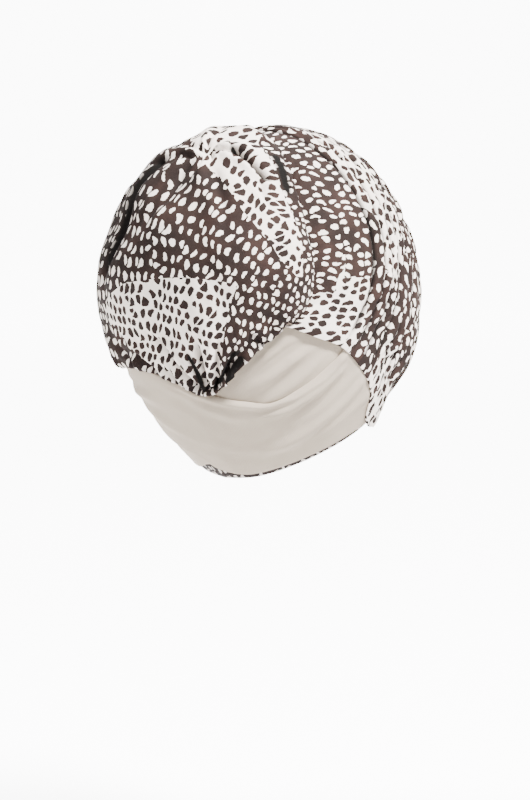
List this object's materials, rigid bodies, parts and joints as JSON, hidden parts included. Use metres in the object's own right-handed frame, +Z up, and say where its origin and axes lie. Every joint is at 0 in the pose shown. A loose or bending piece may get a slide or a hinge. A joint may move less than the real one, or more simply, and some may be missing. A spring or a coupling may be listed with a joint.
{
  "type": "turban headwrap",
  "caption": "Soft jersey turban headwrap with a spotted crown bag, a drape pleated from ear to ear and plain bands crossed over the nape.",
  "frame": {"origin": "middle of the head that the wrap is worn on, at the level of the ear tops", "axes": "+Z up through the top of the head, the face looks along -Y, the wearer's left is +X; the head goes in and leaves along -Z"},
  "size_m": [0.1727, 0.2235, 0.2272],
  "materials": {
    "printed_jersey": "matte knitted jersey, dark brown with off-white spots and off-white with dark brown spots",
    "plain_jersey": "matte knitted jersey, plain pale stone"
  },
  "bodies": {
    "root": {"crown": "printed_jersey", "front_drape": "printed_jersey", "band_right": "plain_jersey", "band_left": "plain_jersey"}
  },
  "joints": []
}
